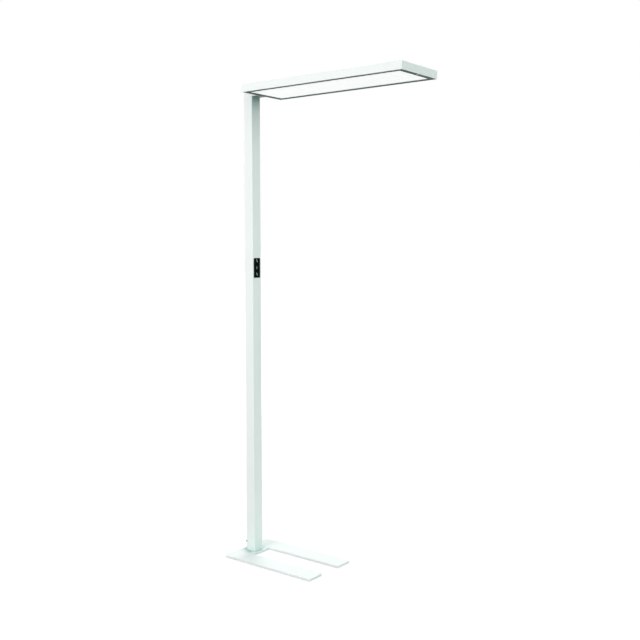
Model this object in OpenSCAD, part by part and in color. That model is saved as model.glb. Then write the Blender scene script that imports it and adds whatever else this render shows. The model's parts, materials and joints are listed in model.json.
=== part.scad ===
// Office floor lamp: a U-shaped base plate, a hollow column with a keypad, and a flat LED head
// that a short neck holds off the column.
// The origin is on the floor at the column's axis. +X points along the head, +Y across it and
// +Z up. All lengths are in millimetres.

/* [Overall] */
// Height of the lamp above the floor
overall_h = 1950; // [1750:5:2150]

/* [Base] */
// Length of the base, rear edge to front tips
base_l = 452; // [380:1:560]
// Width of the base
base_w = 265; // [230:1:360]
// Thickness of the base plate
base_t = 8; // [6:0.5:14]
// Distance from the column's axis to the base's rear edge
base_back = 45; // [36:1:58]
// Depth of the bar that joins the two arms
crossbar_d = 84; // [74:1:130]
// Width of each arm of the base
arm_w = 80; // [50:1:95]
// Radius of the plate's outer corners
base_corner_r = 3; // [1:0.5:12]
// Radius of the slot's inner corners
slot_corner_r = 3; // [1:0.5:12]
// Thickness of the floor pad
pad_t = 2; // [1:0.5:4]
// Distance from the plate's edge to the floor pad
pad_inset = 3; // [1:0.5:10]

/* [Column] */
// Depth of the column, along the head
column_d = 43; // [40:1:60]
// Width of the column
column_w = 51; // [51:1:70]
// Wall of the column's profile
column_wall = 2.5; // [2:0.1:2.6]
// Radius of the column's outer corners
column_corner_r = 1.5; // [0.5:0.1:3]
// Bore of the four screw ports
port_r = 2.3; // [2:0.05:2.4]
// Wall round each screw port
port_wall = 1.6; // [1.2:0.1:1.7]
// Width of the slit that opens each screw port
port_slit = 1.6; // [1:0.1:2.4]
// Thickness of the column's top cap
cap_t = 3; // [2.5:0.1:3.5]

/* [Cable gland] */
// Height of the gland's axis above the floor
gland_z = 37; // [32:1:120]
// Radius of the gland's threaded tube
gland_tube_r = 6; // [5.6:0.1:6.3]
// Radius of the hole for the mains cord
gland_bore_r = 3.7; // [3:0.1:4.2]
// Width across the flats of the gland's two outer hexagons
gland_flats = 15; // [14.5:0.5:20]
// How far the gland stands out behind the column
gland_reach = 22; // [18:1:30]
// Length of the dome at the gland's mouth
gland_dome_l = 9; // [7:0.5:10]

/* [Keypad] */
// Height of the keypad's centre above the floor
keypad_z = 1218; // [900:1:1400]
// Width of the keypad's bezel
bezel_w = 37; // [34:0.5:37]
// Height of the keypad's bezel
bezel_h = 81.5; // [76:0.5:100]
// How far the bezel covers the edge of its cut-out
bezel_cover = 1.8; // [1.8:0.1:2.4]
// Thickness of the bezel in front of the column
bezel_t = 1.5; // [1:0.1:2.5]
// Wall of the bezel's sleeve
sleeve_wall = 1.2; // [1:0.1:1.6]
// Depth of the bezel's sleeve behind the column's face
sleeve_depth = 12.5; // [12:0.5:14]
// Bar of the bezel between two keys
key_web = 2; // [1.8:0.1:3]
// How far a key stands out of the bezel
key_proud = 0.3; // [0.1:0.1:0.8]
// Depth of the dish in a key's face
key_dish = 0.25; // [0.1:0.05:0.3]
// Travel of a key
key_travel = 0.8; // [0.4:0.1:1]

/* [Neck] */
// Length of the neck between the column and the head
neck_l = 32; // [26:1:60]
// Wall of the neck casting
neck_wall = 3.5; // [3:0.1:5]
// Thickness of the neck's two screwed ends
neck_flange = 6; // [5:0.5:9]

/* [Head] */
// Length of the head
head_l = 755; // [620:5:1000]
// Width of the head
head_w = 240; // [220:2:320]
// Thickness of the head
head_t = 30; // [30:0.5:36]
// Wall of the four head rails
rail_wall = 2; // [1.6:0.1:2.4]
// Thickness of the shelf inside a head rail
shelf_t = 1.6; // [1.2:0.1:2]
// Width of the dark rim below the head
rim_reach = 23; // [22:0.5:30]
// Thickness of the rim's sheet
rim_t = 1.2; // [1:0.1:1.5]
// Thickness of the diffuser
diffuser_t = 3; // [2:0.1:3.2]
// Height of the light chamber above the diffuser
chamber_h = 10.6; // [10:0.1:11]
// Thickness of the gear tray's sheet
tray_t = 1.2; // [1:0.1:1.4]
// Thickness of the head's top cover
cover_t = 1.5; // [1.2:0.1:2]
// Thickness of the upper window
window_t = 3; // [2:0.1:3.5]
// Distance from the head's neck end to the upper window
window_start = 112; // [108:1:160]
// Distance from the upper window to the head's other edges
window_margin = 52; // [51:1:60]

/* [Light and gear] */
// Width of an LED board
board_w = 18; // [14:1:24]
// Thickness of an LED board
board_t = 1.6; // [1:0.1:1.6]
// Distance between two LEDs on a board
led_pitch = 35; // [25:1:60]
// Side of an LED
led_size = 3.2; // [2.6:0.2:5]
// Length of the driver's case
driver_l = 330; // [240:10:360]
// Width of the driver's case
driver_w = 28; // [24:1:28]
// Height of the driver's case
driver_h = 11; // [8:0.5:11]
// Radius of the sensor's lens
lens_r = 4; // [3.5:0.1:5]

/* [Hidden] */
$fn = 48;

// Gaps of the assembly
slip = 0.2;          // between two pieces that slide together
thread_gap = 0.05;   // round a screw in its own thread
screw_gap = 0.3;     // round a screw in a hole that it passes
cut = 1;             // how far a cutting solid goes past a face

// Paint and plastics
WHITE = "#eef3f1";
DARK = "#5a6462";
BLACK = "#101412";
STEEL = "#b8bcbe";
OPAL = "#fbfdfc";
BOARD = "#e4e9e4";

// Screws: radius of shank and head, height of head
m5_r = 2.5;
m5_head_r = 4.25;
m5_head_h = 5;
m4_r = 2;
m4_head_r = 3.4;
m4_head_h = 2.2;
m3_r = 1.5;
m3_head_r = 2.75;
m3_head_h = 2;
m3_sunk_r = 2.8;
small_r = 1.1;
small_head_r = 2;
small_head_h = 1.3;
port_screw_r = port_r - thread_gap;
port_head_r = 4.8;
port_head_h = 2.6;
cap_head_r = 3.9;
cap_head_h = 1.7;

// Base
column_z = pad_t + base_t;
slot_x = crossbar_d - base_back;
slot_half = base_w / 2 - arm_w;
foot_screw_l = base_t + 26;
pad_access_r = port_head_r + 1.2;

// Column
inner_x = column_d / 2 - column_wall;
inner_y = column_w / 2 - column_wall;
port_x = inner_x - port_r;
port_y = inner_y - port_r;
ports = [for (x = [-port_x, port_x], y = [-port_y, port_y]) [x, y]];
port_clear_y = port_y - port_r - port_wall;
column_top = overall_h - cap_t;
cap_screw_l = cap_t + 14;
cap_plug_h = 6;

// Cable gland: the x of each step, from the outside in
gland_x0 = -column_d / 2 - gland_reach;
gland_hex_t = 5;
gland_hex_x = -column_d / 2 - gland_hex_t;
gland_mouth_l = 6.5;
gland_mouth_wall = 1.5;
gland_thread_x0 = gland_x0 + gland_mouth_l + 3;
gland_lock_t = 3.5;
gland_inner_x = -inner_x + gland_lock_t + 1;
gland_seal_r = gland_tube_r - 1.1;

// Keypad: x is counted from the column's face
keypad_cut_w = bezel_w - 2 * bezel_cover;
keypad_cut_h = bezel_h - 2 * bezel_cover;
sleeve_w = keypad_cut_w - 2 * slip;
sleeve_h = keypad_cut_h - 2 * slip;
pocket_w = sleeve_w - 2 * sleeve_wall;
pocket_h = sleeve_h - 2 * sleeve_wall;
key_lip = 0.8;
key_gap = 0.3;
key_lip_t = 1.3;
key_rest_gap = 0.1;
opening_w = pocket_w - 2 * key_gap - 2 * key_lip + 2 * key_gap;
opening_h = (pocket_h - 2 * key_lip - 2 * key_web) / 3;
key_pitch = opening_h + key_web;
key_w = opening_w - 2 * key_gap;
key_h = opening_h - 2 * key_gap;
key_ledge = 1.4;
ledge_x0 = -7;
ledge_x1 = -6;
plunger_r = 2.4;
plunger_x = ledge_x0 + key_travel + 1;
mat_t = 1.2;
mat_x0 = ledge_x0 - mat_t;
keypad_board_t = 1.6;
keypad_board_x0 = mat_x0 - keypad_board_t;
end_block_h = 5;
mat_w = pocket_w - 2 * slip;
mat_h = pocket_h - 2 * end_block_h - 2 * slip;
dome_h = 2.4;
dome_r0 = 5;
dome_r1 = 3.7;
dome_hole_r = plunger_r + 0.4;
back_t = 1.2;
hook_w = 12;
hook_reach = 1.2;
hook_t = 1.3;
keypad_screw_z = pocket_h / 2 - end_block_h / 2;
keypad_plug_z = 14;
keypad_post_r = 2;

// Head: levels above its underside and distances in from its outline
head_x = column_d / 2 + neck_l;
head_z = overall_h - head_t;
diffuser_z0 = rim_t;
diffuser_z1 = diffuser_z0 + diffuser_t;
tray_z0 = diffuser_z1 + chamber_h;
tray_z1 = tray_z0 + tray_t;
shelf_z1 = tray_z1 + shelf_t;
shelf_reach = 14;
cover_z0 = head_t - cover_t;
ledge_t = 1.5;
ledge_z0 = cover_z0 - ledge_t;
ledge_reach = 12;
channel_w = 3.4;
channel_lip_t = 1.4;
channel_lip_h = 2;
corner_key_t = 3;
corner_key_l = 32;
mitre_gap = 0.05;
snap_rib = 0.8;
snap_rib_h = 1.2;
upstand_gap = rail_wall + snap_rib + slip;
upstand_t = 1.2;
upstand_h = 10;
snap_z = 8.2;
diffuser_inset = rim_reach - 5;
tray_inset = upstand_gap + upstand_t + 0.8;
tray_wall_inset = diffuser_inset + 0.6;
screw_line = 9.6;
long_screws = 5;
tray_screw_y = head_w / 2 - 45;

// Neck and bracket
wire_z = head_z + tray_z1 + 6;
wire_slot_r = 3.8;
wire_slot_half = 3.5;
bolt_low_z = head_z + 7;
bolt_high_z = wire_z;
column_bolt_y = 11.4;
head_bolt_y = 17;
plate_t = 4;
plate_half_w = port_clear_y - 1;
plate_margin = 1.5;
neck_edge_r = 1;
bracket_t = 2.5;
bracket_l = 56;
bracket_half_w = 23;
bracket_room = 1;
bracket_screw_x = [22, 45];
bracket_screw_y = 16;

// Light and gear
led_h = 0.7;
down_start = rim_reach + 4;
down_l = head_l - 2 * down_start;
down_rows = [-head_w / 4, 0, head_w / 4];
up_start = window_start + 6;
up_l = head_l - window_margin - 6 - up_start;
up_rows = [-head_w / 6, head_w / 6];
driver_x = 112;
driver_y = -(head_w / 2 - shelf_reach - 1.5 - driver_w / 2);
driver_ear = 12;
driver_ear_t = 1.5;
driver_chamfer = 1.6;
driver_end_l = 16;
driver_end_drop = 1;
driver_ports = 4;
driver_port = [2.4, 2, 3];
driver_end = driver_x + driver_l;
driver_screw_x = [driver_x - driver_ear / 2, driver_end + driver_ear / 2];
block_x = 72;
block_size = [26, 30, 10.5];

// Sensor
sensor_in = (upstand_gap + upstand_t + diffuser_inset) / 2;
sensor_size = [diffuser_inset - upstand_gap - upstand_t - 2 * slip, 26, 9];
lens_flange_r = lens_r + 0.6;
lens_flange_t = 1;
lens_drop = 0.8;
lens_rings = 4;
lens_groove = 0.25;
lens_ball_r = (lens_r * lens_r + lens_drop * lens_drop) / (2 * lens_drop);

// Wires: radius of the wire and of its bends
mains_r = 3.2;
mains_bend = 12;
mains_start_x = gland_inner_x + 0.3;
mains_run_x = mains_start_x + mains_bend + 0.5;
signal_r = 1.4;
signal_bend = 5;
signal_y = -5;
signal_start_x = column_d / 2 - sleeve_depth + 0.6;
signal_run_x = signal_start_x - signal_bend - 0.5;
signal_turn_x = 66;
thin_r = 0.9;
thin_bend = 4;
wire_hole_gap = 0.3;
down_wire_x = driver_end + 34;
up_wire_x = driver_end + 22;
sensor_wire = [head_l - diffuser_inset + 1.1, -6];
cap_plug_x1 = mains_run_x - mains_r - 2;

// A rectangle with round corners, centred on the origin
module rounded_rect(w, h, r) {
    square([w - 2 * r, h], center = true);
    square([w, h - 2 * r], center = true);
    for (x = [-1, 1], y = [-1, 1])
        translate([x * (w / 2 - r), y * (h / 2 - r)]) circle(r);
}

// Stands a flat outline up across X, from x0 to x1: its x becomes Y and its y becomes Z
module across_x(x0, x1) {
    translate([x0, 0, 0]) rotate([90, 0, 90]) linear_extrude(x1 - x0) children();
}

// A round bar along X
module bar_x(r, x0, x1) {
    translate([x0, 0, 0]) rotate([0, 90, 0]) cylinder(r = r, h = x1 - x0);
}

// A screw along Z: its head stands on z = 0 and its shank goes down
module cap_screw(r, l, head_r, head_h) {
    translate([0, 0, -l]) cylinder(r = r, h = l + head_h / 2);
    difference() {
        cylinder(r = head_r, h = head_h);
        translate([0, 0, head_h * 0.45]) cylinder(r = head_r * 0.55, h = head_h, $fn = 6);
    }
}

// A countersunk screw along Z, flush with z = 0
module sunk_screw(r, l, head_r, head_h) {
    difference() {
        union() {
            translate([0, 0, -l]) cylinder(r = r, h = l);
            translate([0, 0, -head_h]) cylinder(r1 = r, r2 = head_r, h = head_h);
        }
        translate([0, 0, -head_h * 0.7]) cylinder(r = head_r * 0.4, h = head_h, $fn = 6);
    }
}

// The hole for a countersunk screw, from z = 0 down
module sunk_hole(r, l, head_r, head_h) {
    translate([0, 0, -l - cut]) cylinder(r = r + screw_gap, h = l + 2 * cut);
    translate([0, 0, -head_h]) cylinder(r1 = r + screw_gap, r2 = head_r + screw_gap, h = head_h);
    cylinder(r = head_r + screw_gap, h = cut);
}

// A wire along points whose legs each follow one axis, with a round bend at every corner
module lead(points, r, bend) {
    last = len(points) - 1;
    dirs = [for (i = [0:last - 1]) (points[i + 1] - points[i]) / norm(points[i + 1] - points[i])];
    for (i = [0:last - 1]) {
        start = points[i] + (i == 0 ? 0 : bend) * dirs[i];
        stop = points[i + 1] - (i == last - 1 ? 0 : bend) * dirs[i];
        wire_leg(start, dirs[i], norm(stop - start), r);
    }
    for (i = [1:last - 1])
        wire_bend(points[i], dirs[i - 1], dirs[i], r, bend);
}

module wire_leg(start, dir, l, r) {
    turn = abs(dir[2]) == 1 ? [dir[2] > 0 ? 0 : 180, 0, 0]
         : abs(dir[0]) == 1 ? [0, 90 * dir[0], 0]
         : [-90 * dir[1], 0, 0];
    translate(start) rotate(turn) cylinder(r = r, h = l);
}

module wire_bend(corner, from, to, r, bend) {
    side = cross(from, to);
    centre = corner - bend * from + bend * to;
    multmatrix([
        [-to[0], from[0], side[0], centre[0]],
        [-to[1], from[1], side[1], centre[1]],
        [-to[2], from[2], side[2], centre[2]],
        [0, 0, 0, 1]
    ])
        rotate_extrude(angle = 90) translate([bend, 0]) circle(r);
}

// ---- Base ----

// The U of the base, smaller by inset all round
module base_outline(inset) {
    r = max(base_corner_r - inset, 0.5);
    x0 = -base_back + inset;
    bar_l = crossbar_d - 2 * inset;
    arm_l = base_l - 2 * inset;
    arm = arm_w - 2 * inset;
    translate([x0 + bar_l / 2, 0]) rounded_rect(bar_l, base_w - 2 * inset, r);
    for (side = [-1, 1]) {
        translate([x0 + arm_l / 2, side * (base_w - arm_w) / 2]) rounded_rect(arm_l, arm, r);
        translate([x0 + bar_l, side * (slot_half + inset)]) slot_fillet(-side);
    }
}

// The rounded inner corner between the crossbar and an arm
module slot_fillet(side) {
    r = slot_corner_r;
    difference() {
        translate([-0.5, side > 0 ? -0.5 : -r]) square([r + 0.5, r + 0.5]);
        translate([r, side * r]) circle(r);
    }
}

module base_plate() {
    color(WHITE) translate([0, 0, pad_t]) difference() {
        linear_extrude(base_t) base_outline(0);
        for (p = ports)
            translate([p[0], p[1], 0]) rotate([180, 0, 0])
                sunk_hole(port_screw_r, base_t, port_head_r, port_head_h);
    }
}

module floor_pad() {
    color(DARK) difference() {
        linear_extrude(pad_t) base_outline(pad_inset);
        for (p = ports)
            translate([p[0], p[1], -cut]) cylinder(r = pad_access_r, h = pad_t + 2 * cut);
    }
}

module foot_screws() {
    color(STEEL) for (p = ports)
        translate([p[0], p[1], pad_t]) rotate([180, 0, 0])
            sunk_screw(port_screw_r, foot_screw_l, port_head_r, port_head_h);
}

// ---- Column ----

module column_section() {
    difference() {
        union() {
            difference() {
                rounded_rect(column_d, column_w, column_corner_r);
                square([2 * inner_x, 2 * inner_y], center = true);
            }
            for (p = ports) translate(p) circle(port_r + port_wall);
        }
        for (p = ports) translate(p) {
            circle(port_r);
            rotate(atan2(-p[1], -p[0])) translate([0, -port_slit / 2])
                square([port_r + port_wall + 1, port_slit]);
        }
    }
}

module column_profile() {
    color(WHITE) difference() {
        translate([0, 0, column_z]) linear_extrude(column_top - column_z) column_section();
        translate([0, 0, keypad_z]) across_x(inner_x - cut, column_d / 2 + cut)
            square([keypad_cut_w, keypad_cut_h], center = true);
        translate([0, 0, gland_z]) bar_x(gland_tube_r + slip, -column_d / 2 - cut, cut - inner_x);
        wire_slot(inner_x - cut, column_d / 2 + cut);
        column_bolts(inner_x - cut, column_d / 2 + cut, m5_r + screw_gap);
    }
}

module column_cap() {
    plug_x0 = -inner_x + slip;
    color(WHITE) difference() {
        union() {
            translate([0, 0, column_top]) linear_extrude(cap_t)
                rounded_rect(column_d, column_w, column_corner_r);
            translate([plug_x0, -port_clear_y + slip, column_top - cap_plug_h])
                cube([cap_plug_x1 - plug_x0, 2 * (port_clear_y - slip), cap_plug_h + cap_t / 2]);
        }
        for (p = ports)
            translate([p[0], p[1], overall_h]) sunk_hole(port_screw_r, cap_t, cap_head_r, cap_head_h);
    }
}

module cap_screws() {
    color(STEEL) for (p = ports)
        translate([p[0], p[1], overall_h])
            sunk_screw(port_screw_r, cap_screw_l, cap_head_r, cap_head_h);
}

// ---- Cable gland ----

// A hexagon along X with its corners turned down at both ends
module gland_hex(flats, x0, x1) {
    turned_r = flats / 2 - 0.2;
    corner_r = flats / 2 / cos(30);
    wide_r = corner_r + 1;
    rise = (wide_r - turned_r) * tan(30);
    l = x1 - x0;
    translate([x0, 0, 0]) rotate([0, 90, 0]) intersection() {
        cylinder(r = corner_r, h = l, $fn = 6);
        rotate_extrude() polygon([
            [0, 0], [turned_r, 0], [wide_r, rise],
            [wide_r, l - rise], [turned_r, l], [0, l]
        ]);
    }
}

// The round nose of the gland's nut: it swells from its mouth in one arc
module gland_dome() {
    wide_r = gland_flats / 2 - 0.2;
    mouth_r = gland_bore_r + gland_mouth_wall;
    swell = wide_r - mouth_r;
    arc_r = (gland_dome_l * gland_dome_l + swell * swell) / (2 * swell);
    translate([gland_x0, 0, 0]) rotate([0, 90, 0]) rotate_extrude() intersection() {
        translate([wide_r - arc_r, gland_dome_l]) circle(arc_r, $fn = 180);
        square([wide_r, gland_dome_l + 1]);
    }
}

module gland_body() {
    color(DARK) translate([0, 0, gland_z]) difference() {
        union() {
            gland_hex(gland_flats, gland_hex_x, -column_d / 2);
            bar_x(gland_tube_r, gland_thread_x0, gland_inner_x);
        }
        bar_x(gland_bore_r + slip, gland_thread_x0 - cut, gland_inner_x + cut);
        bar_x(gland_seal_r + slip, gland_thread_x0 - cut, gland_hex_x);
    }
}

module gland_nut() {
    x1 = gland_hex_x - slip;
    thread_x = gland_x0 + gland_mouth_l;
    color(DARK) translate([0, 0, gland_z]) difference() {
        union() {
            gland_hex(gland_flats, gland_x0 + gland_dome_l, x1);
            gland_dome();
        }
        bar_x(gland_bore_r, gland_x0 - cut, x1 + cut);
        bar_x(gland_tube_r + thread_gap, thread_x, x1 + cut);
    }
}

module gland_seal() {
    color(BLACK) translate([0, 0, gland_z]) difference() {
        bar_x(gland_seal_r, gland_x0 + gland_mouth_l + slip, gland_hex_x - slip);
        bar_x(gland_bore_r + 0.1, gland_x0, gland_hex_x);
    }
}

module gland_lock_nut() {
    color(DARK) translate([0, 0, gland_z]) difference() {
        gland_hex(gland_flats + 2, -inner_x, gland_lock_t - inner_x);
        bar_x(gland_tube_r + thread_gap, -inner_x - cut, gland_lock_t - inner_x + cut);
    }
}

// ---- Keypad ----

module at_keypad() {
    translate([column_d / 2, 0, keypad_z]) children();
}

module keypad_slab(w, h, x0, x1, r) {
    across_x(x0, x1) rounded_rect(w, h, r);
}

module keypad_bezel() {
    color(BLACK) at_keypad() difference() {
        union() {
            keypad_slab(bezel_w, bezel_h, 0, bezel_t, 2.5);
            keypad_slab(sleeve_w, sleeve_h, -sleeve_depth, bezel_t / 2, 1);
            // snap hooks that grip behind the column's wall
            for (side = [-1, 1])
                translate([-column_wall - hook_t - 0.1, -hook_w / 2,
                           side > 0 ? sleeve_h / 2 - 0.5 : -sleeve_h / 2 - hook_reach + 0.5])
                    cube([hook_t, hook_w, hook_reach]);
        }
        // the keys' room, the mat's ledge and the board's room behind it
        keypad_slab(pocket_w, pocket_h, ledge_x1, 0, 0.6);
        keypad_slab(pocket_w - 2 * key_ledge, mat_h - 2 * key_ledge, ledge_x0 - cut, ledge_x1 + cut, 0.6);
        keypad_slab(pocket_w, mat_h + 2 * slip, -sleeve_depth - cut, ledge_x0, 0.6);
        for (i = [-1, 0, 1])
            translate([0, 0, i * key_pitch]) keypad_slab(opening_w, opening_h, -cut, bezel_t + cut, 1.5);
        for (side = [-1, 1])
            translate([0, 0, side * keypad_screw_z])
                bar_x(small_r + thread_gap, -sleeve_depth - cut, ledge_x0 + cut / 2);
    }
}

// What the fingertip's dish takes out of a key: a flat piece of a large ball
module key_dish_cut() {
    edge_r = key_w / 2 - 1;
    ball_r = (edge_r * edge_r + key_dish * key_dish) / (2 * key_dish);
    translate([bezel_t + key_proud - key_dish, 0, 0]) rotate([0, 90, 0]) rotate_extrude() intersection() {
        translate([0, ball_r]) circle(ball_r, $fn = 1440);
        square([edge_r + 0.5, key_dish + cut]);
    }
}

module key(row) {
    at_keypad() translate([0, 0, row * key_pitch]) {
        difference() {
            keypad_slab(key_w, key_h, -key_rest_gap - 0.5, bezel_t + key_proud, 1.3);
            key_dish_cut();
        }
        keypad_slab(key_w + 2 * key_lip, key_h + 2 * key_lip, -key_rest_gap - key_lip_t, -key_rest_gap, 1);
        bar_x(plunger_r, plunger_x, -key_rest_gap - 0.5);
    }
}

module key_brighter() {
    color(BLACK) key(1);
}

module key_on_off() {
    color(BLACK) key(0);
}

module key_dimmer() {
    color(BLACK) key(-1);
}

module key_mat() {
    color("#3a3f3e") at_keypad() difference() {
        union() {
            keypad_slab(mat_w, mat_h, mat_x0, ledge_x0, 0.6);
            for (i = [-1, 0, 1])
                translate([ledge_x0 - mat_t / 2, 0, i * key_pitch]) rotate([0, 90, 0])
                    cylinder(r1 = dome_r0, r2 = dome_r1, h = dome_h + mat_t / 2);
        }
        for (i = [-1, 0, 1])
            translate([0, 0, i * key_pitch]) bar_x(dome_hole_r, ledge_x0, 0);
    }
}

module keypad_board() {
    plug_h = sleeve_depth + keypad_board_x0 - 0.6;
    color("#1f5d3a") at_keypad() {
        keypad_slab(mat_w, mat_h, keypad_board_x0, mat_x0, 0.6);
        // the plug for the keypad's lead and the control chip
        translate([keypad_board_x0 - plug_h, signal_y - 4, keypad_plug_z - 3])
            cube([plug_h + 0.5, 8, 6]);
        translate([keypad_board_x0 - 1.2, -4, -12]) cube([1.7, 8, 8]);
    }
}

module keypad_back() {
    color(BLACK) at_keypad() difference() {
        union() {
            keypad_slab(sleeve_w, sleeve_h, -sleeve_depth - back_t, -sleeve_depth, 1);
            for (y = [-1, 1], z = [-1, 1])
                translate([0, y * (mat_w / 2 - 3), z * (mat_h / 2 - 3)])
                    bar_x(keypad_post_r, -sleeve_depth - back_t / 2, keypad_board_x0);
        }
        for (side = [-1, 1])
            translate([0, 0, side * keypad_screw_z])
                bar_x(small_r + screw_gap, -sleeve_depth - back_t - cut, cut - sleeve_depth);
        translate([0, signal_y, keypad_plug_z])
            bar_x(signal_r + wire_hole_gap, -sleeve_depth - back_t - cut, cut - sleeve_depth);
    }
}

module keypad_screws() {
    color(STEEL) at_keypad() for (side = [-1, 1])
        translate([-sleeve_depth - back_t, 0, side * keypad_screw_z]) rotate([0, -90, 0])
            cap_screw(small_r, back_t + 4.5, small_head_r, small_head_h);
}

// ---- Neck ----

// The long hole that the wires pass, through the column, the neck, the rail and the bracket
module wire_slot(x0, x1) {
    translate([0, 0, wire_z]) {
        for (y = [-wire_slot_half, wire_slot_half]) translate([0, y, 0]) bar_x(wire_slot_r, x0, x1);
        translate([x0, -wire_slot_half, -wire_slot_r])
            cube([x1 - x0, 2 * wire_slot_half, 2 * wire_slot_r]);
    }
}

module bolt_bars(half_y, x0, x1, r) {
    for (y = [-half_y, half_y], z = [bolt_low_z, bolt_high_z])
        translate([0, y, z]) bar_x(r, x0, x1);
}

module column_bolts(x0, x1, r) {
    bolt_bars(column_bolt_y, x0, x1, r);
}

module head_bolts(x0, x1, r) {
    bolt_bars(head_bolt_y, x0, x1, r);
}

module neck_arm() {
    x0 = column_d / 2;
    color(WHITE) difference() {
        translate([0, 0, head_z + head_t / 2]) across_x(x0, head_x)
            rounded_rect(column_w, head_t, neck_edge_r);
        translate([x0 + neck_flange, neck_wall - column_w / 2, head_z + neck_wall])
            cube([neck_l - 2 * neck_flange, column_w - 2 * neck_wall, head_t - 2 * neck_wall]);
        wire_slot(x0 - cut, head_x + cut);
        column_bolts(x0 - cut, x0 + neck_flange + cut, m5_r + thread_gap);
        head_bolts(head_x - neck_flange - cut, head_x + cut, m4_r + thread_gap);
    }
}

module neck_plate() {
    color(STEEL) difference() {
        translate([inner_x - plate_t, -plate_half_w, head_z + plate_margin])
            cube([plate_t, 2 * plate_half_w, column_top - head_z - 2 * plate_margin]);
        wire_slot(inner_x - plate_t - cut, inner_x + cut);
        column_bolts(inner_x - plate_t - cut, inner_x + cut, m5_r + screw_gap);
    }
}

module neck_screws() {
    color(STEEL) for (y = [-column_bolt_y, column_bolt_y], z = [bolt_low_z, bolt_high_z])
        translate([inner_x - plate_t, y, z]) rotate([0, -90, 0])
            cap_screw(m5_r, plate_t + column_wall + neck_flange - 0.5, m5_head_r, m5_head_h);
}

// ---- Head: frame ----

module at_head() {
    translate([head_x, 0, head_z]) children();
}

// A slab over the head's outline, smaller by inset all round
module head_slab(inset, z0, z1) {
    translate([inset, inset - head_w / 2, z0])
        cube([head_l - 2 * inset, head_w - 2 * inset, z1 - z0]);
}

module head_ring(outer, inner, z0, z1) {
    difference() {
        head_slab(outer, z0, z1);
        head_slab(inner, z0 - cut, z1 + cut);
    }
}

// The section that the four rails are cut from: x is inwards and y is up
module rail_section() {
    lip_x = rail_wall + channel_w;
    square([rail_wall, head_t]);
    translate([0, tray_z1]) square([shelf_reach, shelf_t]);
    translate([0, ledge_z0]) square([ledge_reach, ledge_t]);
    translate([lip_x, tray_z1]) square([channel_lip_t, shelf_t + channel_lip_h]);
    translate([lip_x, ledge_z0 - channel_lip_h]) square([channel_lip_t, channel_lip_h + ledge_t]);
    translate([0, snap_z - slip - snap_rib_h]) square([rail_wall + snap_rib, snap_rib_h]);
}

// A rail along X with mitred ends, its outer face on y = 0
module mitred_rail(l) {
    deep = shelf_reach + cut;
    intersection() {
        across_x(0, l) rail_section();
        linear_extrude(head_t)
            polygon([[mitre_gap, 0], [l - mitre_gap, 0],
                     [l - mitre_gap - deep, deep], [mitre_gap + deep, deep]]);
    }
}

// Screw places along the rails: [x, y] on the head, at a distance in from its outline
function rail_points(inset) = concat(
    [for (i = [0:long_screws - 1], side = [-1, 1])
        [head_l * (0.5 + i) / long_screws, side * (head_w / 2 - inset)]],
    [for (x = [inset, head_l - inset], side = [-1, 1]) [x, side * tray_screw_y]]
);

module rail_holes() {
    for (p = rail_points(screw_line))
        translate([p[0], p[1], tray_z0]) cylinder(r = m3_r + thread_gap, h = head_t);
}

module rail_near() {
    color(WHITE) at_head() difference() {
        translate([0, -head_w / 2, 0]) mitred_rail(head_l);
        rail_holes();
    }
}

module rail_far() {
    color(WHITE) at_head() difference() {
        translate([head_l, head_w / 2, 0]) rotate([0, 0, 180]) mitred_rail(head_l);
        rail_holes();
    }
}

module rail_tip() {
    color(WHITE) at_head() difference() {
        translate([head_l, -head_w / 2, 0]) rotate([0, 0, 90]) mitred_rail(head_w);
        rail_holes();
    }
}

module rail_neck() {
    room = bracket_half_w + bracket_room;
    color(WHITE) difference() {
        at_head() difference() {
            translate([0, head_w / 2, 0]) rotate([0, 0, -90]) mitred_rail(head_w);
            rail_holes();
            // the ribs are milled away where the bracket stands
            translate([rail_wall, -room, -cut]) cube([shelf_reach, 2 * room, head_t + 2 * cut]);
        }
        wire_slot(head_x - cut, head_x + rail_wall + cut);
        head_bolts(head_x - cut, head_x + rail_wall + cut, m4_r + screw_gap);
    }
}

module corner_keys() {
    a = rail_wall + slip;
    z0 = shelf_z1 + slip;
    h = ledge_z0 - slip - z0;
    color(STEEL) at_head() for (x = [0, 1], y = [-1, 1])
        translate([x * head_l, y * head_w / 2, z0]) mirror([x, 0, 0]) mirror([0, y > 0 ? 1 : 0, 0])
            translate([a, a, 0]) {
                cube([corner_key_l, corner_key_t, h]);
                cube([corner_key_t, corner_key_l, h]);
            }
}

module head_bracket() {
    x0 = head_x + rail_wall;
    z0 = head_z + rim_t + plate_margin;
    color(STEEL) difference() {
        union() {
            translate([x0, -bracket_half_w, z0])
                cube([bracket_t, 2 * bracket_half_w, head_z + ledge_z0 - z0]);
            translate([x0, -bracket_half_w, head_z + tray_z1])
                cube([bracket_l, 2 * bracket_half_w, bracket_t]);
        }
        wire_slot(x0 - cut, x0 + bracket_t + cut);
        head_bolts(x0 - cut, x0 + bracket_t + cut, m4_r + screw_gap);
        for (x = bracket_screw_x, y = [-1, 1])
            translate([head_x + x, y * bracket_screw_y, head_z + tray_z1 - cut])
                cylinder(r = m4_r + screw_gap, h = bracket_t + 2 * cut);
    }
}

module head_screws() {
    color(STEEL) for (y = [-head_bolt_y, head_bolt_y], z = [bolt_low_z, bolt_high_z])
        translate([head_x + rail_wall + bracket_t, y, z]) rotate([0, 90, 0])
            cap_screw(m4_r, bracket_t + rail_wall + neck_flange - 0.5, m4_head_r, m4_head_h);
}

module bracket_screws() {
    color(STEEL) at_head() for (x = bracket_screw_x, y = [-1, 1])
        translate([x, y * bracket_screw_y, tray_z1 + bracket_t])
            cap_screw(m4_r, bracket_t + tray_t, m4_head_r, m4_head_h);
}

// ---- Head: underside ----

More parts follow.
